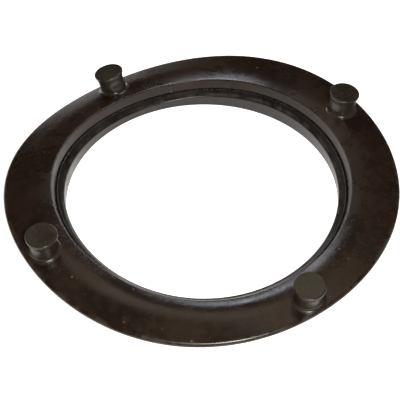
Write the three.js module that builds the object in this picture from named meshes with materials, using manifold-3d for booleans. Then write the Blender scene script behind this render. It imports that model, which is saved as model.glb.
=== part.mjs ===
// A soft rubber floor seal for a toilet flange: a thin ring that carries four mushroom studs, and a
// deeper inner collar that lines the waste opening. Millimetres, +Z up. The origin is the centre of the
// collar's lower rim, which is what the seal lies on. The rubber is soft, so the ring is drawn in the
// gentle waves that it relaxes into, and the studs lean a little, each its own way.

import * as THREE from 'three';
import { mergeVertices } from 'three/addons/utils/BufferGeometryUtils.js';
import Module from 'manifold-3d';

const wasm = await Module();
wasm.setup();

// Overall sizes.
const OUTER_R = 73; // outside of the flange ring
const OPENING_R = 50.8; // clear opening through the collar, 4 inches across
const TOP_Z = 11.4; // the ring's mean top face, above the collar's lower rim
const CLEARANCE = 0.3; // gap between separate pieces

// Flange ring: a thin plate with a turned-down inner rim.
const PLATE_T = 2;
const EDGE_R = PLATE_T / 2; // full round on the outside edge
const DISH_R = 61.5; // inside this the top face dips towards the recess
const DISH_DROP = 1.2; // as far down as this
const SHOULDER_R = 55.2; // top edge of the recess
const SHOULDER_FOOT_R = 54; // bottom of the recess wall
const SHOULDER_ROUND = 0.5;
const RIM_OUT_R = 57; // outside of the turned-down rim
const UNDER_FILLET = 1.2; // between that rim and the plate's underside

// Inner collar: the stepped lip that the waste opening is cut through.
const LEDGE_Z = 6.6; // outside edge of the ledge at the bottom of the recess
const LEDGE_SLOPE = 30; // degrees that the ledge falls towards the opening
const SEAT_Z = 5.8; // step that the ring's rim sits on
const LIP_ROUND = 0.9; // round between the ledge and the opening's wall
const COLLAR_FOOT_R = 55.8; // outside of the collar at its lower rim
const COLLAR_CHAMFER = 0.7;

// Studs: four, a quarter turn apart from +X, each plugged into a shallow socket in the ring.
const STUD_CIRCLE_R = 66.3;
const STEM_R = 5;
const HEAD_R = 5.7;
const HEAD_T = 0.9; // straight rim of the head
const HEAD_FLARE = 3; // height of the taper from the stem out to the head
const HEAD_ROUND = 0.4;
const STUD_H = 8.4; // from the ring's top face to the head's top face
const SOCKET_DEPTH = 0.9;
const STUDS = [
  { name: 'stud_right', pull: -1.5, lean: 5.6, towards: -21 },
  { name: 'stud_back', pull: -1.7, lean: 14, towards: 112 },
  { name: 'stud_left', pull: -0.5, lean: 4.3, towards: -142 },
  { name: 'stud_front', pull: 0.3, lean: 7.4, towards: -120 },
]; // pull is how far the relaxed rubber has moved it outwards; lean and towards are in degrees

// How the relaxed ring lies. Each wave goes round the ring "order" times, is highest at "peak" degrees
// from +X, and grows from its height at the recess to its height at the outside edge.
const WAVES = [
  { order: 0, peak: 0, atRecess: 0, atRim: -3.1 },
  { order: 1, peak: -61, atRecess: -0.8, atRim: 1.3 },
  { order: 2, peak: -8, atRecess: 1.9, atRim: 3 },
  { order: 3, peak: 40, atRecess: 0.65, atRim: 1.75 },
];
const WAVE_CURVE = 1.2; // 1 would be a straight slope from the recess to the outside edge

// Mesh fineness.
const RING_SEGMENTS = 96;
const STUD_SEGMENTS = 32;
const ARC_STEPS = 4;
const PLATE_STEPS = 6; // across the plate, so that it follows the waves
const DISH_STEPS = 3; // across the dish

/** Height that the waves add to the rubber at a place. The collar's lower rim lies flat. */
function lift(x, y, z) {
  const across = (Math.hypot(x, y) - SHOULDER_R) / (OUTER_R - SHOULDER_R);
  const share = Math.max(across, 0) ** WAVE_CURVE;
  let height = 0;
  for (const { order, peak, atRecess, atRim } of WAVES) {
    const turn = Math.cos(order * (Math.atan2(y, x) - THREE.MathUtils.degToRad(peak)));
    height += (atRecess + (atRim - atRecess) * share) * turn;
  }
  return height * Math.min(z / SEAT_Z, 1);
}

/** A geometry with every vertex lifted by the waves. */
function waved(geometry) {
  const position = geometry.attributes.position;
  for (let i = 0; i < position.count; i += 1) {
    const [x, y, z] = [position.getX(i), position.getY(i), position.getZ(i)];
    position.setZ(i, z + lift(x, y, z));
  }
  geometry.computeVertexNormals();
  return geometry;
}

/** Evenly spaced points between two, without the ends. */
function between(a, b, steps = PLATE_STEPS) {
  const points = [];
  for (let i = 1; i < steps; i += 1) {
    points.push(a.clone().lerp(b, i / steps));
  }
  return points;
}

/** Points along an arc in the section plane, from one angle to the other in degrees. */
function arc(centreR, centreZ, radius, from, to) {
  const points = [];
  for (let i = 0; i <= ARC_STEPS; i += 1) {
    const angle = THREE.MathUtils.degToRad(from + ((to - from) * i) / ARC_STEPS);
    points.push(new THREE.Vector2(centreR + radius * Math.cos(angle), centreZ + radius * Math.sin(angle)));
  }
  return points;
}

/** A section turned about +Z. It runs anticlockwise, with the radius to the right and z upwards. */
function turned(section, segments) {
  return new THREE.LatheGeometry(section, segments).rotateX(Math.PI / 2);
}

/** A ring-shaped section, closed on itself and turned about +Z. */
function turnedRing(section) {
  return turned([...section, section[0].clone()], RING_SEGMENTS);
}

/** A solid for cutting, from a geometry whose vertices are shared by position alone. */
function toSolid(geometry) {
  const bare = geometry.clone();
  bare.deleteAttribute('normal');
  bare.deleteAttribute('uv');
  const merged = mergeVertices(bare, 1e-4);
  const mesh = new wasm.Mesh({
    numProp: 3,
    vertProperties: Float32Array.from(merged.attributes.position.array),
    triVerts: Uint32Array.from(merged.index.array),
  });
  return new wasm.Manifold(mesh);
}

/** The geometry of a cut solid. */
function toGeometry(solid) {
  const mesh = solid.getMesh();
  const geometry = new THREE.BufferGeometry();
  geometry.setAttribute('position', new THREE.BufferAttribute(mesh.vertProperties, mesh.numProp));
  geometry.setIndex(new THREE.BufferAttribute(mesh.triVerts, 1));
  geometry.computeVertexNormals();
  return geometry;
}

/** Where each stud stands on the ring's top face, with its own lean. */
function studFrames() {
  return STUDS.map(({ pull, lean, towards }, i) => {
    const angle = (i * 2 * Math.PI) / STUDS.length;
    const radius = STUD_CIRCLE_R + pull;
    const place = new THREE.Vector3(radius * Math.cos(angle), radius * Math.sin(angle), TOP_Z);
    place.z += lift(place.x, place.y, place.z);
    const across = THREE.MathUtils.degToRad(towards + 90);
    const hinge = new THREE.Vector3(Math.cos(across), Math.sin(across), 0);
    const turn = new THREE.Matrix4().makeRotationAxis(hinge, THREE.MathUtils.degToRad(lean));
    return turn.setPosition(place);
  });
}

/** The cutter for one stud socket, standing well clear of the ring's top face. */
function socketTool(frame) {
  const height = SOCKET_DEPTH + STUD_H;
  const tool = new THREE.CylinderGeometry(STEM_R + CLEARANCE, STEM_R + CLEARANCE, height, STUD_SEGMENTS);
  return tool.rotateX(Math.PI / 2).translate(0, 0, height / 2 - SOCKET_DEPTH).applyMatrix4(frame);
}

/** The thin ring: dished plate, turned-down rim and recess wall, with a socket for each stud. */
function flangeRingGeometry(frames) {
  const underZ = TOP_Z - PLATE_T;
  const fillet = arc(RIM_OUT_R + UNDER_FILLET, underZ - UNDER_FILLET, UNDER_FILLET, 180, 90);
  const edge = arc(OUTER_R - EDGE_R, TOP_Z - EDGE_R, EDGE_R, -90, 90);
  const dish = new THREE.Vector2(DISH_R, TOP_Z);
  const shoulderZ = TOP_Z - DISH_DROP;
  const shoulder = arc(SHOULDER_R + SHOULDER_ROUND, shoulderZ - SHOULDER_ROUND, SHOULDER_ROUND, 90, 180);
  const section = [
    new THREE.Vector2(SHOULDER_FOOT_R, SEAT_Z + CLEARANCE),
    new THREE.Vector2(RIM_OUT_R, SEAT_Z + CLEARANCE),
    ...fillet,
    ...between(fillet.at(-1), edge[0]),
    ...edge,
    ...between(edge.at(-1), dish),
    dish,
    ...between(dish, shoulder[0], DISH_STEPS),
    ...shoulder,
  ];
  let ring = toSolid(waved(turnedRing(section)));
  for (const frame of frames) {
    ring = ring.subtract(toSolid(socketTool(frame)));
  }
  return toGeometry(ring);
}

/** The collar: lower rim, opening wall, rounded lip, sloping ledge and the step that the ring sits on. */
function collarGeometry() {
  const slope = THREE.MathUtils.degToRad(LEDGE_SLOPE);
  const ledgeR = SHOULDER_FOOT_R - CLEARANCE;
  const lipR = OPENING_R + LIP_ROUND;
  const lipStartR = lipR - LIP_ROUND * Math.sin(slope);
  const lipZ = LEDGE_Z - (ledgeR - lipStartR) * Math.tan(slope) - LIP_ROUND * Math.cos(slope);
  const section = [
    new THREE.Vector2(OPENING_R + COLLAR_CHAMFER, 0),
    new THREE.Vector2(COLLAR_FOOT_R - COLLAR_CHAMFER, 0),
    new THREE.Vector2(COLLAR_FOOT_R, COLLAR_CHAMFER),
    new THREE.Vector2(RIM_OUT_R, SEAT_Z),
    new THREE.Vector2(ledgeR, SEAT_Z),
    new THREE.Vector2(ledgeR, LEDGE_Z),
    ...arc(lipR, lipZ, LIP_ROUND, 90 + LEDGE_SLOPE, 180),
    new THREE.Vector2(OPENING_R, COLLAR_CHAMFER),
  ];
  return waved(turnedRing(section));
}

/** One stud, with z = 0 on the ring's top face: spigot below it, stem, flare and flat head. */
function studGeometry() {
  const flareTopZ = STUD_H - HEAD_T;
  return turned(
    [
      new THREE.Vector2(0, CLEARANCE - SOCKET_DEPTH),
      new THREE.Vector2(STEM_R, CLEARANCE - SOCKET_DEPTH),
      new THREE.Vector2(STEM_R, flareTopZ - HEAD_FLARE),
      new THREE.Vector2(HEAD_R, flareTopZ),
      ...arc(HEAD_R - HEAD_ROUND, STUD_H - HEAD_ROUND, HEAD_ROUND, 0, 90),
      new THREE.Vector2(0, STUD_H),
    ],
    STUD_SEGMENTS,
  );
}

/** A named mesh in one colour of rubber. */
function rubberPiece(name, geometry, color, roughness) {
  const material = new THREE.MeshStandardMaterial({ color, roughness, metalness: 0 });
  const mesh = new THREE.Mesh(geometry, material);
  mesh.name = name;
  return mesh;
}

const frames = studFrames();
const seal = new THREE.Group();
seal.add(rubberPiece('flange_ring', flangeRingGeometry(frames), 0x33241f, 0.55));
seal.add(rubberPiece('inner_collar', collarGeometry(), 0x39332f, 0.45));
STUDS.forEach(({ name }, i) => {
  const stud = rubberPiece(name, studGeometry(), 0x3d352f, 0.6);
  stud.applyMatrix4(frames[i]);
  seal.add(stud);
});

export default seal;
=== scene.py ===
"""A soft rubber floor seal for a toilet flange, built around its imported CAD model.

The ring and the collar are swept sections that follow the gentle waves of the relaxed rubber. The four
studs grow out of the ring's face, each with its own lean. Sizes are in millimetres in the classes and
become metres only where a mesh is made.
"""

import logging
import math
from dataclasses import dataclass, field
from enum import Enum

import bmesh
import bpy
from mathutils import Matrix, Vector


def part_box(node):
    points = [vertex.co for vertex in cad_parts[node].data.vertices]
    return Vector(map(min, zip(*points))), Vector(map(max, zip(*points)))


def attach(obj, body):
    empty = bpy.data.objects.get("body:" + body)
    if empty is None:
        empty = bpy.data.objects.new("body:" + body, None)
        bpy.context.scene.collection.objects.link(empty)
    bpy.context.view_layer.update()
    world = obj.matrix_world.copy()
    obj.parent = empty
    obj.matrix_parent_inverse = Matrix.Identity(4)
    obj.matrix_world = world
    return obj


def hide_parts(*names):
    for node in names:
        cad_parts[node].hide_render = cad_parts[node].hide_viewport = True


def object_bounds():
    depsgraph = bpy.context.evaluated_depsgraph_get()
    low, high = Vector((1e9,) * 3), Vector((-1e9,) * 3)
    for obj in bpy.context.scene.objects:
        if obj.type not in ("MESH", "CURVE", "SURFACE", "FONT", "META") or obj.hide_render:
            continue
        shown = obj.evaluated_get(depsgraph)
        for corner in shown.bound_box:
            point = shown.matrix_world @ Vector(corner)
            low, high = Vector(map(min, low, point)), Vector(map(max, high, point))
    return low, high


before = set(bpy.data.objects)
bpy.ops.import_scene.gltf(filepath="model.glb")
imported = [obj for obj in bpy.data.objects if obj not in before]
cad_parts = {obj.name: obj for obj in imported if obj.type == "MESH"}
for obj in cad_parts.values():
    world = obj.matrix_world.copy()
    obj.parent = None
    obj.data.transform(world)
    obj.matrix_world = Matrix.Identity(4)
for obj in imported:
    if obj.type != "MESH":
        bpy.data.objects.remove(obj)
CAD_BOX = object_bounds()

LOG = logging.getLogger("seal")
MM = 0.001
BODY = "root"

Point = tuple[float, float]
Colour = tuple[float, float, float]


# ----------------------------------------------------------------------------------------------------
# Node trees
# ----------------------------------------------------------------------------------------------------


class Graph:
    """Adds nodes to one tree and joins them, so that a formula reads as one."""

    def __init__(self, tree: bpy.types.NodeTree) -> None:
        """Start on a tree.

        Args:
            tree: A node tree, with or without nodes.
        """
        self.tree = tree

    def node(
        self, kind: str, inputs: dict[object, object] | None = None, **settings: object
    ) -> bpy.types.Node:
        """Add a node.

        Args:
            kind: Its type's identifier.
            inputs: Values or sockets, by the input's name or number.
            **settings: The node's own properties.

        Returns:
            The new node.
        """
        made = self.tree.nodes.new(kind)
        for name, value in settings.items():
            setattr(made, name, value)
        for name, value in (inputs or {}).items():
            self.feed(made.inputs[name], value)
        return made

    def feed(self, socket: bpy.types.NodeSocket, value: object) -> None:
        """Give an input a value, or link another node's output to it.

        Args:
            socket: The input.
            value: A number, a vector, a colour, a Wire or an output socket.
        """
        if isinstance(value, Wire):
            value = value.socket
        if isinstance(value, bpy.types.NodeSocket):
            self.tree.links.new(value, socket)
        else:
            socket.default_value = value

    def wire(self, socket: bpy.types.NodeSocket) -> "Wire":
        """An output socket that can be used in a sum."""
        return Wire(self, socket)

    def math(self, operation: str, *values: object) -> "Wire":
        """A Math node.

        Args:
            operation: Blender's name for it.
            *values: One to three numbers or wires.

        Returns:
            Its result.
        """
        made = self.node("ShaderNodeMath", dict(enumerate(values)), operation=operation)
        return self.wire(made.outputs[0])

    def vector(self, operation: str, *values: object) -> "Wire":
        """A Vector Math node with a vector result.

        Args:
            operation: Blender's name for it.
            *values: One to three vectors or wires.

        Returns:
            Its result.
        """
        made = self.node("ShaderNodeVectorMath", dict(enumerate(values)), operation=operation)
        return self.wire(made.outputs[0])

    def stretched(
        self, value: object, low: float, high: float, to_low: float = 0.0, to_high: float = 1.0
    ) -> "Wire":
        """A value taken smoothly from one range to another, and held at its ends.

        Args:
            value: The number or wire to take.
            low: Where the range starts.
            high: Where it ends.
            to_low: The result at the start.
            to_high: The result at the end.

        Returns:
            The new value.
        """
        ends = {"Value": value, 1: low, 2: high, 3: to_low, 4: to_high}
        made = self.node("ShaderNodeMapRange", ends, interpolation_type="SMOOTHSTEP")
        return self.wire(made.outputs[0])

    def joined(self, x: object, y: object, z: object) -> "Wire":
        """A vector made of three numbers."""
        return self.wire(self.node("ShaderNodeCombineXYZ", {0: x, 1: y, 2: z}).outputs[0])

    def parts(self, vector: object) -> tuple["Wire", "Wire", "Wire"]:
        """The three numbers of a vector."""
        made = self.node("ShaderNodeSeparateXYZ", {0: vector})
        return tuple(self.wire(socket) for socket in made.outputs)

    def blend(self, share: object, a: object, b: object, kind: str = "RGBA", how: str = "MIX") -> "Wire":
        """Two colours or vectors mixed.

        Args:
            share: How much of b.
            a: The first.
            b: The second.
            kind: RGBA or VECTOR.
            how: The way that colours mix.

        Returns:
            The mixture.
        """
        made = self.node("ShaderNodeMix", data_type=kind)
        if kind == "RGBA":
            made.blend_type = how
        first = {"RGBA": 6, "VECTOR": 4}[kind]
        for number, value in ((0, share), (first, a), (first + 1, b)):
            self.feed(made.inputs[number], value)
        return self.wire(made.outputs[{"RGBA": 2, "VECTOR": 1}[kind]])


@dataclass(frozen=True)
class Wire:
    """A number on its way from one node to the next."""

    graph: Graph
    socket: bpy.types.NodeSocket

    def __add__(self, other: object) -> "Wire":
        """This plus another."""
        return self.graph.math("ADD", self, other)

    def __sub__(self, other: object) -> "Wire":
        """This less another."""
        return self.graph.math("SUBTRACT", self, other)

    def __mul__(self, other: object) -> "Wire":
        """This times another."""
        return self.graph.math("MULTIPLY", self, other)

    def __truediv__(self, other: object) -> "Wire":
        """This over another."""
        return self.graph.math("DIVIDE", self, other)


class Shaper(Graph):
    """A Geometry Nodes tree with named inputs, and the way to run it on a piece."""

    SOCKETS = {float: "NodeSocketFloat", int: "NodeSocketInt", tuple: "NodeSocketVector"}

    def __init__(self, name: str) -> None:
        """Start an empty tree that takes and gives geometry.

        Args:
            name: The tree's name.
        """
        super().__init__(bpy.data.node_groups.new(name, "GeometryNodeTree"))
        self.values: dict[str, object] = {}
        faces = self.tree.interface
        faces.new_socket(name="Geometry", in_out="INPUT", socket_type="NodeSocketGeometry")
        faces.new_socket(name="Geometry", in_out="OUTPUT", socket_type="NodeSocketGeometry")
        self.entry = self.tree.nodes.new("NodeGroupInput")
        self.exit = self.tree.nodes.new("NodeGroupOutput")

    def input(self, name: str, value: float | int | tuple[float, ...]) -> Wire:
        """A named input with its value.

        Args:
            name: What the modifier shows.
            value: What it is set to before the tree first runs.

        Returns:
            The input, to build with.
        """
        kind = self.SOCKETS[type(value)]
        socket = self.tree.interface.new_socket(name=name, in_out="INPUT", socket_type=kind)
        self.values[socket.identifier] = value
        return self.wire(self.entry.outputs[name])

    def finish(self, geometry: bpy.types.NodeSocket, material: bpy.types.Material) -> None:
        """End the tree.

        Args:
            geometry: What it made.
            material: What it is made of.
        """
        smooth = self.node("GeometryNodeSetShadeSmooth", {"Geometry": geometry})
        real = self.node("GeometryNodeRealizeInstances", {"Geometry": smooth.outputs[0]})
        dressed = self.node("GeometryNodeSetMaterial", {"Geometry": real.outputs[0], "Material": material})
        self.tree.links.new(dressed.outputs[0], self.exit.inputs[0])

    def run(self, piece: bpy.types.Object) -> None:
        """Run the tree on a piece and keep the result as its plain mesh.

        Args:
            piece: The object that holds the starting shape.
        """
        modifier = piece.modifiers.new(self.tree.name, "NODES")
        modifier.node_group = self.tree
        for identifier, value in self.values.items():
            modifier[identifier] = value
        keep_result(piece)


def keep_result(piece: bpy.types.Object) -> None:
    """Turn a piece's modifiers into its plain mesh, with its faces pointing out.

    Args:
        piece: A mesh object with live modifiers.
    """
    seen = piece.evaluated_get(bpy.context.evaluated_depsgraph_get())
    mesh = bpy.data.meshes.new_from_object(seen)
    piece.modifiers.clear()
    old = piece.data
    piece.data = mesh
    bpy.data.meshes.remove(old)
    mesh.name = piece.name
    shape = bmesh.new()
    shape.from_mesh(mesh)
    bmesh.ops.remove_doubles(shape, verts=shape.verts, dist=MM * 1e-4)
    bmesh.ops.recalc_face_normals(shape, faces=shape.faces)
    if shape.calc_volume(signed=True) < 0:
        bmesh.ops.reverse_faces(shape, faces=shape.faces)
    shape.to_mesh(mesh)
    shape.free()


# ----------------------------------------------------------------------------------------------------
# Sections
# ----------------------------------------------------------------------------------------------------


def arc(centre: Point, radius: float, start: float, end: float, steps: int = 10) -> list[Point]:
    """Points along an arc in the section plane.

    Args:
        centre: Its centre, as radius and height.
        radius: Its radius.
        start: The angle that it starts at, in degrees.
        end: The angle that it ends at.
        steps: How many chords it is made of.

    Returns:
        The points, with both ends.
    """
    angles = [math.radians(start + (end - start) * i / steps) for i in range(steps + 1)]
    return [(centre[0] + radius * math.cos(a), centre[1] + radius * math.sin(a)) for a in angles]


def line(start: Point, end: Point, steps: int) -> list[Point]:
    """Evenly spaced points between two, without the ends.

    Args:
        start: Where it starts.
        end: Where it ends.
        steps: How many equal steps.

    Returns:
        The points between.
    """
    shares = [i / steps for i in range(1, steps)]
    return [(start[0] + (end[0] - start[0]) * s, start[1] + (end[1] - start[1]) * s) for s in shares]


def section_object(name: str, section: list[Point], path_radius: float, closed: bool) -> bpy.types.Object:
    """A section as a line of edges, laid out for a sweep round a circle.

    Args:
        name: The piece's name.
        section: Points as radius and height, in millimetres.
        path_radius: The radius of the circle that it is swept round.
        closed: Whether the last point joins the first.

    Returns:
        The new object.
    """
    mesh = bpy.data.meshes.new(name)
    points = [((r - path_radius) * MM, -z * MM, 0.0) for r, z in section]
    edges = [(i, i + 1) for i in range(len(points) - 1)]
    if closed:
        edges.append((len(points) - 1, 0))
    mesh.from_pydata(points, edges, [])
    piece = bpy.data.objects.new(name, mesh)
    bpy.context.scene.collection.objects.link(piece)
    return piece


# ----------------------------------------------------------------------------------------------------
# How the rubber lies
# ----------------------------------------------------------------------------------------------------


@dataclass(frozen=True)
class Wave:
    """One wave round the ring, highest at its peak."""

    order: int
    peak: float
    at_recess: float
    at_rim: float


@dataclass(frozen=True)
class RelaxedLie:
    """The gentle waves that the soft ring relaxes into. The collar's lower rim lies flat."""

    recess_r: float = 55.2
    rim_r: float = 73.0
    full_z: float = 5.8
    curve: float = 1.2
    waves: tuple[Wave, ...] = (
        Wave(0, 0.0, 0.0, -3.1),
        Wave(1, -61.0, -0.8, 1.3),
        Wave(2, -8.0, 1.9, 3.0),
        Wave(3, 40.0, 0.65, 1.75),
    )

    def height(self, x: float, y: float) -> float:
        """How far the waves lift the ring's face.

        Args:
            x: Millimetres along +X.
            y: Millimetres along +Y.

        Returns:
            Millimetres along +Z.
        """
        across = (math.hypot(x, y) - self.recess_r) / (self.rim_r - self.recess_r)
        share = max(across, 0.0) ** self.curve
        total = 0.0
        for wave in self.waves:
            turn = math.cos(wave.order * (math.atan2(y, x) - math.radians(wave.peak)))
            total += (wave.at_recess + (wave.at_rim - wave.at_recess) * share) * turn
        return total

    def field(self, shaper: Shaper, x: Wire, y: Wire, z: Wire | None = None) -> Wire:
        """The same lift as a field in a tree, with its sizes as named inputs.

        Args:
            shaper: The tree.
            x: Position along X, in metres.
            y: Position along Y.
            z: Height, or None where the lift is full.

        Returns:
            The lift, in metres.
        """
        recess = shaper.input("Recess radius", self.recess_r * MM)
        rim = shaper.input("Rim radius", self.rim_r * MM)
        angle = shaper.math("ARCTAN2", y, x)
        radius = shaper.math("SQRT", x * x + y * y)
        across = shaper.math("MAXIMUM", (radius - recess) / (rim - recess), 0.0)
        share = shaper.math("POWER", across, shaper.input("Wave curve", self.curve))
        total = shaper.math("ADD", 0.0, 0.0)
        for wave in self.waves:
            name = f"Wave {wave.order}"
            peak = shaper.input(f"{name} peak", math.radians(wave.peak))
            near = shaper.input(f"{name} at recess", wave.at_recess * MM)
            far = shaper.input(f"{name} at rim", wave.at_rim * MM)
            turn = shaper.math("COSINE", (angle - peak) * float(wave.order))
            total = total + (near + (far - near) * share) * turn
        if z is None:
            return total
        full = shaper.input("Full lift height", self.full_z * MM)
        return total * shaper.math("MINIMUM", z / full, 1.0)


@dataclass(frozen=True)
class Dish:
    """The dip of the face's inner margin, rolled in gently from the flat part."""

    radius: float = 61.5
    drop: float = 1.2
    end_r: float = 55.7
    roll: float = 36.0

    @property
    def slope(self) -> float:
        """How steeply it falls in the end, in radians."""
        return math.atan2(self.drop, self.radius - self.end_r)

    @property
    def start_r(self) -> float:
        """The radius at which the face starts to roll in."""
        return self.radius + self.roll * math.tan(self.slope / 2)

    def field(self, shaper: Shaper, x: Wire, y: Wire) -> Wire:
        """How far the rolled part lies below the flat face, as a field.

        Args:
            shaper: The tree.
            x: Position along X, in metres.
            y: Position along Y.

        Returns:
            The fall, in metres.
        """
        roll = shaper.input("Dish roll", self.roll * MM)
        start = shaper.input("Dish start radius", self.start_r * MM)
        radius = shaper.math("SQRT", x * x + y * y)
        inside = shaper.math("MAXIMUM", start - radius, 0.0)
        return roll - shaper.math("SQRT", roll * roll - inside * inside)


@dataclass(frozen=True)
class Sag:
    """A place where the soft inner margin of the face has sunk a little."""

    angle: float = -108.0
    depth: float = 0.7
    start_r: float = 61.7
    width: float = 6.5
    still_z: float = 7.0
    full_z: float = 10.0
    narrowness: float = 4.0

    def field(self, shaper: Shaper, x: Wire, y: Wire, z: Wire) -> Wire:
        """How far the face has sunk, as a field.

        Args:
            shaper: The tree.
            x: Position along X, in metres.
            y: Position along Y.
            z: Height before the waves.

        Returns:
            The fall, in metres.
        """
        radius = shaper.math("SQRT", x * x + y * y)
        turn = shaper.math("ARCTAN2", y, x) - shaper.input("Sag angle", math.radians(self.angle))
        facing = shaper.math("MAXIMUM", shaper.math("COSINE", turn), 0.0)
        near = shaper.math("POWER", facing, self.narrowness)
        start = shaper.input("Sag start radius", self.start_r * MM)
        inward = (start - radius) / shaper.input("Sag width", self.width * MM)
        inward = shaper.math("MINIMUM", shaper.math("MAXIMUM", inward, 0.0), 1.0)
        high = shaper.stretched(z, self.still_z * MM, self.full_z * MM)
        return inward * inward * near * high * shaper.input("Sag depth", self.depth * MM)


# ----------------------------------------------------------------------------------------------------
# Finishes
# ----------------------------------------------------------------------------------------------------


class Effect(Enum):
    """The shader effects that the rubber finishes share."""

    MOTTLE = "rubber_mottle"
    GRIT = "grit_and_lint"
    # Edge band: rubbed wear, and also a painted highlight along the rounded edge.
    SCUFF_AND_SHEEN = "edge_scuff_and_sheen"
    GRAIN = "moulded_grain"


def effect_group(effect: Effect, inputs: dict[str, tuple[str, object]], outputs: dict[str, str]) -> tuple:
    """A shader node group with named inputs and outputs.

    Args:
        effect: Which effect it is.
        inputs: Socket type and first value, by name.
        outputs: Socket type, by name.

    Returns:
        The graph to build in, its entry node and its exit node.
    """
    tree = bpy.data.node_groups.new(effect.value, "ShaderNodeTree")
    for name, (kind, value) in inputs.items():
        socket = tree.interface.new_socket(name=name, in_out="INPUT", socket_type=kind)
        if value is not None:
            socket.default_value = value
    for name, kind in outputs.items():
        tree.interface.new_socket(name=name, in_out="OUTPUT", socket_type=kind)
    graph = Graph(tree)
    return graph, tree.nodes.new("NodeGroupInput"), tree.nodes.new("NodeGroupOutput")


def mottle_group() -> None:
    """Cloudy patches of two sizes, as on rubber that has been handled."""
    graph, entry, leave = effect_group(
        Effect.MOTTLE,
        {
            "Vector": ("NodeSocketVector", None),
            "Patch": ("NodeSocketFloat", 1.0),
            "Fine": ("NodeSocketFloat", 1.0),
            "Warp": ("NodeSocketFloat", 0.006),
        },
        {"Clouds": "NodeSocketFloat", "Smears": "NodeSocketFloat"},
    )
    patches = {"Vector": entry.outputs["Vector"], "Scale": entry.outputs["Patch"]}
    wide = {**patches, "Detail": 4.0, "Roughness": 0.62}
    clouds = graph.wire(graph.node("ShaderNodeTexNoise", wide).outputs["Fac"])
    warp = graph.node("ShaderNodeTexNoise", patches)
    bend = {0: warp.outputs["Color"], "Scale": entry.outputs["Warp"]}
    offset = graph.node("ShaderNodeVectorMath", bend, operation="SCALE")
    bent = graph.vector("ADD", entry.outputs["Vector"], offset.outputs[0])
    small = {"Vector": bent, "Scale": entry.outputs["Fine"], "Detail": 3.0, "Roughness": 0.7}
    smears = graph.wire(graph.node("ShaderNodeTexNoise", small).outputs["Fac"])
    graph.feed(leave.inputs["Clouds"], graph.stretched(clouds, 0.32, 0.68))
    graph.feed(leave.inputs["Smears"], graph.stretched(smears, 0.42, 0.7))


def grit_group() -> None:
    """Sparse pale specks of grit, thicker in some places than in others."""
    graph, entry, leave = effect_group(
        Effect.GRIT,
        {
            "Vector": ("NodeSocketVector", None),
            "Spacing": ("NodeSocketFloat", 300.0),
            "Size": ("NodeSocketFloat", 0.12),
            "Amount": ("NodeSocketFloat", 0.3),
        },
        {"Specks": "NodeSocketFloat"},
    )
    spread = {"Vector": entry.outputs["Vector"], "Scale": entry.outputs["Spacing"]}
    cells = graph.node("ShaderNodeTexVoronoi", spread)
    chosen, how_big, _ = graph.parts(cells.outputs["Color"])
    kept = graph.math("LESS_THAN", chosen, entry.outputs["Amount"])
    reach = graph.wire(entry.outputs["Size"]) * (how_big + 0.25)
    near = graph.math("SUBTRACT", reach, cells.outputs["Distance"]) / reach
    graph.feed(leave.inputs["Specks"], graph.stretched(near, 0.0, 0.6) * kept)


def scuff_and_sheen_group() -> None:
    """A ring-shaped band round the opening's axis, broken up, where an edge is rubbed; the same band paints a
    highlight along the rounded edge.
    """
    graph, entry, leave = effect_group(
        Effect.SCUFF_AND_SHEEN,
        {
            "Vector": ("NodeSocketVector", None),
            "Radius": ("NodeSocketFloat", 0.07),
            "Width": ("NodeSocketFloat", 0.002),
        },
        {"Mask": "NodeSocketFloat"},
    )
    x, y, _ = graph.parts(entry.outputs["Vector"])
    radius = graph.math("SQRT", x * x + y * y)
    off = graph.math("ABSOLUTE", radius - entry.outputs["Radius"]) / entry.outputs["Width"]
    breaks = {"Vector": entry.outputs["Vector"], "Scale": 260.0, "Detail": 3.0}
    noise = graph.node("ShaderNodeTexNoise", breaks)
    band = graph.stretched(off, 0.0, 1.0, 1.0, 0.0)
    graph.feed(leave.inputs["Mask"], band * graph.stretched(noise.outputs["Fac"], 0.4, 0.65))


def grain_group() -> None:
    """The fine grain of a moulded surface, as a height."""
    graph, entry, leave = effect_group(
        Effect.GRAIN,
        {"Vector": ("NodeSocketVector", None), "Scale": ("NodeSocketFloat", 2600.0)},
        {"Height": "NodeSocketFloat"},
    )
    place, scale = entry.outputs["Vector"], graph.wire(entry.outputs["Scale"])
    fine = {"Vector": place, "Scale": scale, "Detail": 3.0, "Roughness": 0.6}
    coarse = {"Vector": place, "Scale": scale * 0.12, "Detail": 2.0}
    grain = graph.wire(graph.node("ShaderNodeTexNoise", fine).outputs["Fac"])
    swell = graph.wire(graph.node("ShaderNodeTexNoise", coarse).outputs["Fac"])
    graph.feed(leave.inputs["Height"], grain * 0.35 + swell)


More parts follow.
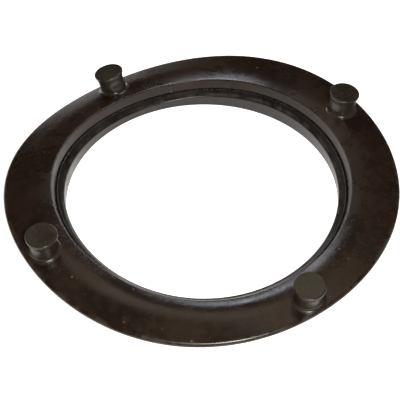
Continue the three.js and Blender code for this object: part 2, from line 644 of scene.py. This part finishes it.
@dataclass(frozen=True)
class RubberFinish:
    """Dark moulded rubber: colour, gloss, mottling, grit, and rubbed edges that carry a painted edge
    highlight.
    """

    name: str
    slot: str
    dark: Colour
    warm: Colour
    roughness: float
    roughness_spread: float = 0.12
    patch: float = 55.0
    fine: float = 320.0
    smear_share: float = 0.14
    smear_roughness: float = 0.06
    grit: float = 0.1
    grit_spacing: float = 330.0
    grit_size: float = 0.16
    grit_share: float = 0.6
    grit_roughness: float = 0.2
    grit_height: float = 0.5
    grit_colour: Colour = (0.2, 0.17, 0.14)
    # Edge band: at 72.6 mm it lies on the ring's rounded outer edge, rubbed wear plus a painted highlight;
    # its pale colour also tints the smears.
    scuff_and_sheen_radius: float = 72.6
    scuff_and_sheen_width: float = 1.4
    scuff_and_sheen_colour: Colour = (0.045, 0.04, 0.033)
    specular: float = 0.45
    grain_scale: float = 2600.0
    grain_depth: float = 0.03

    def material(self) -> bpy.types.Material:
        """Build the material.

        Returns:
            The new material.
        """
        made = bpy.data.materials.new(self.name)
        made.use_nodes = True
        graph = Graph(made.node_tree)
        shader = made.node_tree.nodes["Principled BSDF"]
        place = graph.node("ShaderNodeTexCoord").outputs["Object"]
        mottle = self.placed(graph, Effect.MOTTLE, Vector=place, Patch=self.patch, Fine=self.fine)
        cells = {"Spacing": self.grit_spacing, "Size": self.grit_size, "Amount": self.grit}
        grit = self.placed(graph, Effect.GRIT, Vector=place, **cells)
        scuff_and_sheen = self.placed(
            graph, Effect.SCUFF_AND_SHEEN, Vector=place, Radius=self.scuff_and_sheen_radius * MM, Width=self.scuff_and_sheen_width * MM
        )
        grain = self.placed(graph, Effect.GRAIN, Vector=place, Scale=self.grain_scale)
        clouds = graph.wire(mottle.outputs["Clouds"])
        smears = graph.wire(mottle.outputs["Smears"])
        specks = graph.wire(grit.outputs["Specks"])
        colour = graph.blend(clouds, (*self.dark, 1.0), (*self.warm, 1.0))
        colour = graph.blend(smears * self.smear_share, colour, (*self.scuff_and_sheen_colour, 1.0))
        # Lighter band on the rounded edge: rubbed wear plus a painted edge highlight.
        colour = graph.blend(scuff_and_sheen.outputs["Mask"], colour, (*self.scuff_and_sheen_colour, 1.0))
        colour = graph.blend(specks * self.grit_share, colour, (*self.grit_colour, 1.0))
        rough = clouds * self.roughness_spread + (self.roughness - self.roughness_spread / 2)
        rough = rough + smears * self.smear_roughness + specks * self.grit_roughness
        height = graph.math("ADD", grain.outputs["Height"], specks * self.grit_height)
        bump = graph.node(
            "ShaderNodeBump", {"Strength": 1.0, "Distance": self.grain_depth * MM, "Height": height}
        )
        graph.feed(shader.inputs["Base Color"], colour)
        graph.feed(shader.inputs["Roughness"], rough)
        graph.feed(shader.inputs["Normal"], bump.outputs["Normal"])
        shader.inputs["Specular IOR Level"].default_value = self.specular
        return made

    @staticmethod
    def placed(graph: Graph, effect: Effect, **inputs: object) -> bpy.types.Node:
        """Place a shared effect in a material.

        Args:
            graph: The material's graph.
            effect: Which effect.
            **inputs: Its values, by name.

        Returns:
            The group node.
        """
        node = graph.node("ShaderNodeGroup", node_tree=bpy.data.node_groups[effect.value])
        for name, value in inputs.items():
            graph.feed(node.inputs[name], value)
        return node


RING_RUBBER = RubberFinish(
    "ring_rubber",
    "ring_rubber",
    dark=(0.0108, 0.0062, 0.0038),
    warm=(0.0225, 0.012, 0.0068),
    roughness=0.25,
    grit=0.2,
)
COLLAR_RUBBER = RubberFinish(
    "collar_rubber",
    "collar_rubber",
    dark=(0.007, 0.0058, 0.005),
    warm=(0.012, 0.0092, 0.0076),
    roughness=0.29,
    grit=0.06,
    # This band lies on the lip's rounded edge: rub wear plus a painted highlight there.
    scuff_and_sheen_radius=51.6,
    scuff_and_sheen_width=0.8,
)
STUD_RUBBER = RubberFinish(
    "stud_rubber",
    "stud_rubber",
    dark=(0.023, 0.018, 0.013),
    warm=(0.036, 0.029, 0.021),
    roughness=0.28,
    grit=0.08,
    patch=120.0,
    scuff_and_sheen_radius=0.0,
    scuff_and_sheen_width=0.1,
)


# ----------------------------------------------------------------------------------------------------
# Pieces
# ----------------------------------------------------------------------------------------------------


@dataclass
class SweptPiece:
    """A piece whose section is swept round the opening's axis and then lies in the waves."""

    lie: RelaxedLie
    material: bpy.types.Material
    finish: RubberFinish
    node: str = ""
    segments: int = 480
    path_radius: float = 60.0
    unevenness: float = 0.05
    uneven_scale: float = 55.0
    seed: int = 4

    def section(self) -> list[Point]:
        """The closed section, as radius and height in millimetres, set by each piece."""
        raise NotImplementedError

    def lift(self, shaper: Shaper, x: Wire, y: Wire, z: Wire) -> Wire:
        """How far the rubber is lifted at a place, as a field.

        Args:
            shaper: The tree.
            x: Position along X, in metres.
            y: Position along Y.
            z: Height before it is lifted.

        Returns:
            The lift, in metres.
        """
        return self.lie.field(shaper, x, y, z)

    def build(self) -> bpy.types.Object:
        """Sweep the section, lift it into the waves and make it slightly uneven.

        Returns:
            The finished piece.
        """
        piece = section_object(f"{self.node}_rubber", self.section(), self.path_radius, closed=True)
        shaper = Shaper(f"{self.node}_sweep")
        outline = shaper.node("GeometryNodeMeshToCurve", {"Mesh": shaper.entry.outputs[0]})
        path = shaper.node(
            "GeometryNodeCurvePrimitiveCircle",
            {
                "Resolution": shaper.input("Segments", self.segments),
                "Radius": shaper.input("Path radius", self.path_radius * MM),
            },
        )
        swept = shaper.node(
            "GeometryNodeCurveToMesh", {"Curve": path.outputs["Curve"], "Profile Curve": outline.outputs[0]}
        )
        x, y, z = shaper.parts(shaper.node("GeometryNodeInputPosition").outputs[0])
        lift = self.lift(shaper, x, y, z)
        laid = shaper.node(
            "GeometryNodeSetPosition", {"Geometry": swept.outputs[0], "Offset": shaper.joined(0.0, 0.0, lift)}
        )
        noise = shaper.node(
            "ShaderNodeTexNoise",
            {"Scale": self.uneven_scale, "Detail": 1.0, "W": shaper.input("Seed", float(self.seed))},
            noise_dimensions="4D",
        )
        amount = shaper.input("Unevenness", self.unevenness * MM)
        push = (shaper.wire(noise.outputs["Fac"]) - 0.5) * amount * 2.0
        normal = shaper.node("GeometryNodeInputNormal").outputs[0]
        offset = shaper.node("ShaderNodeVectorMath", {0: normal, "Scale": push}, operation="SCALE")
        uneven = shaper.node(
            "GeometryNodeSetPosition", {"Geometry": laid.outputs[0], "Offset": offset.outputs[0]}
        )
        shaper.finish(uneven.outputs[0], self.material)
        shaper.run(piece)
        return piece

    def dress(self, piece: bpy.types.Object) -> None:
        """Parent the piece to the body that it moves with, and hide the CAD part that it replaces.

        Args:
            piece: The finished piece.
        """
        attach(piece, BODY)
        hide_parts(self.node)


@dataclass
class FlangeRing(SweptPiece):
    """The thin ring: plate, turned-down rim, and the recess wall with a gently rolled top edge."""

    node: str = "flange_ring"
    top_z: float = 11.4
    plate_t: float = 2.0
    outer_r: float = 73.0
    dish: Dish = Dish()
    sag: Sag = Sag()
    recess_r: float = 55.2
    recess_foot_r: float = 54.0
    rim_out_r: float = 57.0
    rim_foot_z: float = 6.1
    foot_round: float = 0.25
    under_fillet: float = 1.2
    shoulder_round: float = 0.5

    def section(self) -> list[Point]:
        """The ring's section, anticlockwise from the foot of the recess wall.

        Returns:
            Points as radius and height.
        """
        edge_r = self.plate_t / 2
        under_z = self.top_z - self.plate_t
        foot_z = self.rim_foot_z + self.foot_round
        inner_foot = arc((self.recess_foot_r + self.foot_round, foot_z), self.foot_round, 195, 270, 4)
        outer_foot = arc((self.rim_out_r - self.foot_round, foot_z), self.foot_round, 270, 360, 4)
        fillet_centre = (self.rim_out_r + self.under_fillet, under_z - self.under_fillet)
        fillet = arc(fillet_centre, self.under_fillet, 180, 90)
        edge = arc((self.outer_r - edge_r, self.top_z - edge_r), edge_r, -90, 90, 20)
        fall = math.degrees(self.dish.slope)
        bend = arc((self.dish.start_r, self.top_z - self.dish.roll), self.dish.roll, 90, 90 + fall, 20)
        shoulder_z = self.top_z - self.dish.drop - self.shoulder_round
        shoulder = arc((self.recess_r + self.shoulder_round, shoulder_z), self.shoulder_round, 90 + fall, 162)
        return [
            *inner_foot,
            *line(inner_foot[-1], outer_foot[0], 6),
            *outer_foot,
            *fillet,
            *line(fillet[-1], edge[0], 30),
            *edge,
            *line(edge[-1], bend[0], 18),
            *bend,
            *line(bend[-1], shoulder[0], 6),
            *shoulder,
            *line(shoulder[-1], inner_foot[0], 10),
        ]

    def lift(self, shaper: Shaper, x: Wire, y: Wire, z: Wire) -> Wire:
        """The waves, less the sag.

        Args:
            shaper: The tree.
            x: Position along X, in metres.
            y: Position along Y.
            z: Height before it is lifted.

        Returns:
            The lift, in metres.
        """
        return super().lift(shaper, x, y, z) - self.sag.field(shaper, x, y, z)

    def cut_sockets(self, piece: bpy.types.Object, cutters: list[bpy.types.Object]) -> None:
        """Cut the shallow sockets that the studs plug into.

        Args:
            piece: The ring.
            cutters: One solid for each socket, removed afterwards.
        """
        for cutter in cutters:
            cut = piece.modifiers.new(cutter.name, "BOOLEAN")
            cut.object = cutter
            cut.operation = "DIFFERENCE"
            cut.solver = "EXACT"
            keep_result(piece)
            bpy.data.objects.remove(cutter)


@dataclass
class InnerCollar(SweptPiece):
    """The collar: lower rim, opening wall, rounded lip, ledge and the step that the ring sits on."""

    node: str = "inner_collar"
    opening_r: float = 50.8
    ledge_z: float = 6.6
    ledge_slope: float = 30.0
    seat_z: float = 5.8
    ledge_out_r: float = 53.7
    rim_out_r: float = 57.0
    foot_r: float = 55.8
    lip_round: float = 0.9
    corner_round: float = 0.25
    foot_round: float = 0.7

    def section(self) -> list[Point]:
        """The collar's section, anticlockwise from the inside of its lower rim.

        Returns:
            Points as radius and height.
        """
        small = self.corner_round
        foot = self.foot_round
        inner_foot = arc((self.opening_r + foot, foot), foot, 180, 270, 6)
        outer_foot = arc((self.foot_r - foot, foot), foot, 270, 355, 6)
        seat_edge = arc((self.rim_out_r - small, self.seat_z - small), small, -5, 90, 4)
        ledge_edge = arc((self.ledge_out_r - small, self.ledge_z - small), small, 0, 90 + self.ledge_slope, 6)
        slope = math.radians(self.ledge_slope)
        lip_r = self.opening_r + self.lip_round
        lip_start_r = lip_r - self.lip_round * math.sin(slope)
        fall = (self.ledge_out_r - lip_start_r) * math.tan(slope)
        lip_z = self.ledge_z - fall - self.lip_round * math.cos(slope)
        lip = arc((lip_r, lip_z), self.lip_round, 90 + self.ledge_slope, 180, 12)
        return [
            *inner_foot,
            *line(inner_foot[-1], outer_foot[0], 6),
            *outer_foot,
            *line(outer_foot[-1], seat_edge[0], 10),
            *seat_edge,
            *line(seat_edge[-1], (self.ledge_out_r, self.seat_z), 6),
            (self.ledge_out_r, self.seat_z),
            *ledge_edge,
            *line(ledge_edge[-1], lip[0], 8),
            *lip,
            *line(lip[-1], inner_foot[0], 12),
        ]


@dataclass
class MushroomStud:
    """A stud: spigot in its socket, filleted foot, stem, long flare and a flat round head."""

    lie: RelaxedLie
    material: bpy.types.Material
    node: str
    angle: float
    pull: float
    lean: float
    towards: float
    finish: RubberFinish = STUD_RUBBER
    dish: Dish = Dish()
    circle_r: float = 66.3
    face_z: float = 11.4
    height: float = 8.4
    stem_r: float = 5.0
    head_r: float = 5.7
    head_t: float = 0.9
    head_round: float = 0.4
    head_dish: float = 0.08
    flare: float = 3.0
    foot_fillet: float = 1.15
    foot_lip: float = 0.05
    spigot: float = 0.6
    clearance: float = 0.3
    segments: int = 96
    path_radius: float = 5.0
    follow: float = 5.0

    def section(self) -> list[Point]:
        """The open section, from the axis at the spigot's end to the axis at the head's top.

        Returns:
            Points as radius and height above the ring's face.
        """
        flare_top = self.height - self.head_t
        flare_foot = (self.stem_r, flare_top - self.flare)
        spread = self.head_r - self.stem_r
        bend = (self.flare**2 + spread**2) / (2 * spread)
        swing = math.degrees(math.asin(self.flare / bend))
        foot_top = self.foot_lip + self.foot_fillet
        fillet = arc((self.stem_r + self.foot_fillet, foot_top), self.foot_fillet, 270, 180, 10)
        rim = (self.head_r - self.head_round, self.height - self.head_round)
        crown = arc(rim, self.head_round, 0, 90, 8)
        taper = arc((self.stem_r + bend, flare_foot[1]), bend, 180, 180 - swing, 12)
        hollow = [(s * rim[0], self.height - self.head_dish * (1 - s * s)) for s in (0.85, 0.6, 0.3, 0.0)]
        below = -self.spigot
        return [
            (0.0, below),
            *line((0.0, below), (self.stem_r - 0.2, below), 4),
            (self.stem_r - 0.2, below),
            (self.stem_r, below + 0.2),
            (self.stem_r, self.foot_lip / 2),
            (fillet[0][0], self.foot_lip / 2),
            *fillet,
            *line(fillet[-1], taper[0], 6),
            *taper,
            (self.head_r, flare_top + 0.12),
            *line((self.head_r, flare_top + 0.12), crown[0], 3),
            *crown,
            *hollow,
        ]

    def place(self) -> Vector:
        """The middle of the stud's foot on the ring's face, in metres."""
        turn = math.radians(self.angle)
        radius = self.circle_r + self.pull
        x, y = radius * math.cos(turn), radius * math.sin(turn)
        return Vector((x, y, self.face_z + self.lie.height(x, y))) * MM

    def grow(self, name: str, section: list[Point]) -> bpy.types.Object:
        """Turn a section about the stud's axis. Its foot follows the face and its top leans.

        Args:
            name: The new object's name.
            section: An open section that starts and ends on the axis.

        Returns:
            The new object.
        """
        piece = section_object(name, section, self.path_radius, closed=False)
        shaper = Shaper(f"{name}_turning")
        outline = shaper.node("GeometryNodeMeshToCurve", {"Mesh": shaper.entry.outputs[0]})
        path = shaper.node(
            "GeometryNodeCurvePrimitiveCircle",
            {
                "Resolution": shaper.input("Segments", self.segments),
                "Radius": shaper.input("Path radius", self.path_radius * MM),
            },
        )
        turned = shaper.node(
            "GeometryNodeCurveToMesh", {"Curve": path.outputs["Curve"], "Profile Curve": outline.outputs[0]}
        )
        weld = {"Geometry": turned.outputs[0], "Distance": MM * 0.001}
        closed = shaper.node("GeometryNodeMergeByDistance", weld)
        position = shaper.node("GeometryNodeInputPosition").outputs[0]
        x, y, z = shaper.parts(position)
        place = shaper.input("Place", tuple(self.place()))
        px, py, _ = shaper.parts(place)
        face = shaper.input("Face height", self.face_z * MM)
        over_x, over_y = x + px, y + py
        fall = self.dish.field(shaper, over_x, over_y)
        followed = shaper.joined(over_x, over_y, self.lie.field(shaper, over_x, over_y) - fall + z + face)
        across = math.radians(self.towards + 90)
        rotated = shaper.node(
            "ShaderNodeVectorRotate",
            {
                "Vector": position,
                "Center": (0.0, 0.0, 0.0),
                "Axis": shaper.input("Lean hinge", (math.cos(across), math.sin(across), 0.0)),
                "Angle": shaper.input("Lean", math.radians(self.lean)),
            },
            rotation_type="AXIS_ANGLE",
        )
        leaned = shaper.vector("ADD", rotated.outputs[0], place)
        reach = shaper.stretched(z / shaper.input("Following height", self.follow * MM), 0.0, 1.0)
        laid = shaper.node(
            "GeometryNodeSetPosition",
            {"Geometry": closed.outputs[0], "Position": shaper.blend(reach, followed, leaned, "VECTOR")},
        )
        shaper.finish(laid.outputs[0], self.material)
        shaper.run(piece)
        return piece

    def socket_cutter(self) -> bpy.types.Object:
        """The solid that cuts this stud's socket in the ring.

        Returns:
            The new object.
        """
        wide, deep = self.stem_r + self.clearance, -(self.spigot + self.clearance)
        above = 2.0
        return self.grow(f"{self.node}_socket", [(0.0, deep), (wide, deep), (wide, above), (0.0, above)])

    def build(self) -> bpy.types.Object:
        """Build the stud.

        Returns:
            The finished piece.
        """
        return self.grow(f"{self.node}_rubber", self.section())

    def dress(self, piece: bpy.types.Object) -> None:
        """Parent the piece to the body that it moves with, and hide the CAD part that it replaces.

        Args:
            piece: The finished piece.
        """
        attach(piece, BODY)
        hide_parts(self.node)


# ----------------------------------------------------------------------------------------------------
# Studio
# ----------------------------------------------------------------------------------------------------


@dataclass(frozen=True)
class Softbox:
    """A square or long soft light that looks at the seal."""

    name: str
    azimuth: float
    elevation: float
    distance: float
    width: float
    height: float
    power: float
    colour: Colour = (1.0, 1.0, 1.0)

    def build(self, target: Vector) -> None:
        """Add the light.

        Args:
            target: The point that it looks at.
        """
        data = bpy.data.lights.new(self.name, "AREA")
        data.shape = "RECTANGLE"
        data.size = self.width
        data.size_y = self.height
        data.energy = self.power
        data.color = self.colour
        lamp = bpy.data.objects.new(self.name, data)
        lamp.visible_camera = False
        back = direction(self.azimuth, self.elevation)
        lamp.location = target + back * self.distance
        lamp.rotation_euler = back.to_track_quat("Z", "Y").to_euler()
        bpy.context.scene.collection.objects.link(lamp)


def direction(azimuth: float, elevation: float) -> Vector:
    """The way from the seal to something around it.

    Args:
        azimuth: Degrees, with 0 on the -Y side and 90 on the +X side.
        elevation: Degrees above the floor.

    Returns:
        A unit vector.
    """
    turn, rise = math.radians(azimuth), math.radians(elevation)
    return Vector((math.sin(turn) * math.cos(rise), -math.cos(turn) * math.cos(rise), math.sin(rise)))


@dataclass
class Studio:
    """Pale floor, soft lights, plain surroundings and the camera."""

    azimuth: float = -32.4
    elevation: float = 46.1
    roll: float = -1.12
    distance_in_radii: float = 6.6
    lens: float = 117.1
    shift: tuple[float, float] = (-0.004, -0.052)
    aim_z: float = 9.9
    floor_size: float = 6.0
    floor_gap: float = 0.02
    floor_dark: Colour = (0.86, 0.85, 0.83)
    floor_light: Colour = (0.9, 0.89, 0.88)
    floor_glow: float = 0.9
    far_glow_share: float = 0.2
    glow_ends: tuple[float, float] = (0.085, 0.15)
    room_ends: tuple[float, float] = (-0.1, 0.9)
    room_low: Colour = (0.03, 0.023, 0.019)
    room_high: Colour = (0.06, 0.044, 0.035)
    lights: list[Softbox] = field(
        default_factory=lambda: [
            Softbox("key", -24.0, 44.0, 0.48, 0.14, 0.14, 1.15, (1.0, 0.93, 0.85)),
            Softbox("lamp", -20.0, 48.0, 0.5, 0.035, 0.035, 0.95, (1.0, 0.97, 0.94)),
            Softbox("window", 152.0, 40.0, 0.15, 0.03, 0.03, 0.046, (0.86, 0.91, 1.0)),
            Softbox("ceiling", 146.0, 68.0, 1.0, 0.4, 0.3, 0.5, (1.0, 0.86, 0.64)),
        ]
    )

    @property
    def target(self) -> Vector:
        """The point that the lights and the camera look at, in metres."""
        return Vector((0.0, 0.0, self.aim_z * MM))

    def build_floor(self) -> None:
        """Lay the pale floor just under the collar's lower rim.

        It glows around the seal, and everywhere to the camera. From below it is clear.
        """
        half = self.floor_size / 2
        low = CAD_BOX[0][2] - self.floor_gap * MM
        mesh = bpy.data.meshes.new("floor")
        corners = [(-half, -half, low), (half, -half, low), (half, half, low), (-half, half, low)]
        mesh.from_pydata(corners, [], [(0, 1, 2, 3)])
        floor = bpy.data.objects.new("floor", mesh)
        bpy.context.scene.collection.objects.link(floor)
        material = bpy.data.materials.new("floor_paper")
        material.use_nodes = True
        graph = Graph(material.node_tree)
        shader = material.node_tree.nodes["Principled BSDF"]
        place = graph.node("ShaderNodeTexCoord").outputs["Object"]
        noise = graph.node("ShaderNodeTexNoise", {"Vector": place, "Scale": 3.0, "Detail": 2.0})
        colour = graph.blend(noise.outputs["Fac"], (*self.floor_dark, 1.0), (*self.floor_light, 1.0))
        graph.feed(shader.inputs["Base Color"], colour)
        shader.inputs["Roughness"].default_value = 0.8
        shader.inputs["Specular IOR Level"].default_value = 0.2
        shader.inputs["Emission Color"].default_value = (1.0, 0.985, 0.97, 1.0)
        x, y, _ = graph.parts(place)
        away = graph.math("SQRT", x * x + y * y)
        far_glow = self.floor_glow * self.far_glow_share
        near = graph.stretched(away, *self.glow_ends, self.floor_glow, far_glow)
        seen = graph.node("ShaderNodeLightPath").outputs["Is Camera Ray"]
        graph.feed(shader.inputs["Emission Strength"], graph.math("MAXIMUM", near, seen))
        below = graph.node("ShaderNodeNewGeometry").outputs["Backfacing"]
        clear = graph.node("ShaderNodeBsdfTransparent").outputs[0]
        one_sided = graph.node("ShaderNodeMixShader", {0: below, 1: shader.outputs[0], 2: clear})
        surface = material.node_tree.nodes["Material Output"].inputs["Surface"]
        graph.feed(surface, one_sided.outputs[0])
        mesh.materials.append(material)

    def build_surroundings(self) -> None:
        """A pale horizon under a dim warm room, which the camera itself sees as plain and pale."""
        world = bpy.data.worlds.new("room")
        bpy.context.scene.world = world
        world.use_nodes = True
        graph = Graph(world.node_tree)
        backdrop = world.node_tree.nodes["Background"]
        _, _, up = graph.parts(graph.node("ShaderNodeTexCoord").outputs["Generated"])
        height = graph.stretched(up, *self.room_ends)
        room = graph.blend(height, (*self.room_low, 1.0), (*self.room_high, 1.0))
        seen = graph.node("ShaderNodeLightPath").outputs["Is Camera Ray"]
        graph.feed(backdrop.inputs["Color"], graph.blend(seen, room, (1.0, 1.0, 1.0, 1.0)))

    def build_camera(self) -> None:
        """Set the camera at the viewing angle."""
        radius = (CAD_BOX[1][0] - CAD_BOX[0][0]) / 2
        back = direction(self.azimuth, self.elevation)
        right = Vector((0.0, 0.0, 1.0)).cross(back).normalized()
        up = back.cross(right)
        turn = math.radians(self.roll)
        rolled_right = right * math.cos(turn) + up * math.sin(turn)
        rolled_up = up * math.cos(turn) - right * math.sin(turn)
        data = bpy.data.cameras.new("camera")
        data.lens = self.lens
        data.shift_x, data.shift_y = self.shift
        data.clip_start = 0.01
        camera = bpy.data.objects.new("camera", data)
        axes = Matrix((rolled_right, rolled_up, back)).transposed()
        stand = self.target + back * radius * self.distance_in_radii
        camera.matrix_world = Matrix.Translation(stand) @ axes.to_4x4()
        bpy.context.scene.collection.objects.link(camera)
        bpy.context.scene.camera = camera

    def build(self) -> None:
        """Build the whole studio."""
        self.build_floor()
        self.build_surroundings()
        for light in self.lights:
            light.build(self.target)
        self.build_camera()
        bpy.context.scene.view_settings.view_transform = "Standard"


# ----------------------------------------------------------------------------------------------------


def report(piece: bpy.types.Object, node: str) -> None:
    """Log a finished piece, and how far its box is from that of the CAD node that it stands for.

    Args:
        piece: The finished piece.
        node: The CAD node's name.
    """
    low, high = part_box(node)
    points = [vertex.co for vertex in piece.data.vertices]
    mine = [(min(p[i] for p in points), max(p[i] for p in points)) for i in range(3)]
    off = max(max(abs(mine[i][0] - low[i]), abs(mine[i][1] - high[i])) for i in range(3)) / MM
    LOG.info("%s: %d faces, box within %.2f mm of %s", piece.name, len(piece.data.polygons), off, node)


def main() -> None:
    """Build the studio, then the collar, the studs and the ring."""
    logging.basicConfig(level=logging.INFO, format="%(message)s")
    Studio().build()
    for make_group in (mottle_group, grit_group, scuff_and_sheen_group, grain_group):
        make_group()
    lie = RelaxedLie()
    rubbers = {finish.name: finish.material() for finish in (RING_RUBBER, COLLAR_RUBBER, STUD_RUBBER)}

    collar = InnerCollar(lie, rubbers["collar_rubber"], COLLAR_RUBBER)
    lining = collar.build()
    collar.dress(lining)
    report(lining, collar.node)

    stud_material = rubbers["stud_rubber"]
    studs = [
        MushroomStud(lie, stud_material, "stud_right", angle=0, pull=-1.5, lean=5.6, towards=-21),
        MushroomStud(lie, stud_material, "stud_back", angle=90, pull=-1.7, lean=14, towards=112),
        MushroomStud(lie, stud_material, "stud_left", angle=180, pull=-0.5, lean=4.3, towards=-142),
        MushroomStud(lie, stud_material, "stud_front", angle=270, pull=0.3, lean=7.4, towards=-120),
    ]
    for stud in studs:
        piece = stud.build()
        stud.dress(piece)
        report(piece, stud.node)

    ring = FlangeRing(lie, rubbers["ring_rubber"], RING_RUBBER)
    plate = ring.build()
    ring.cut_sockets(plate, [stud.socket_cutter() for stud in studs])
    ring.dress(plate)
    report(plate, ring.node)

    bpy.context.view_layer.update()


if __name__ == "__main__":
    main()
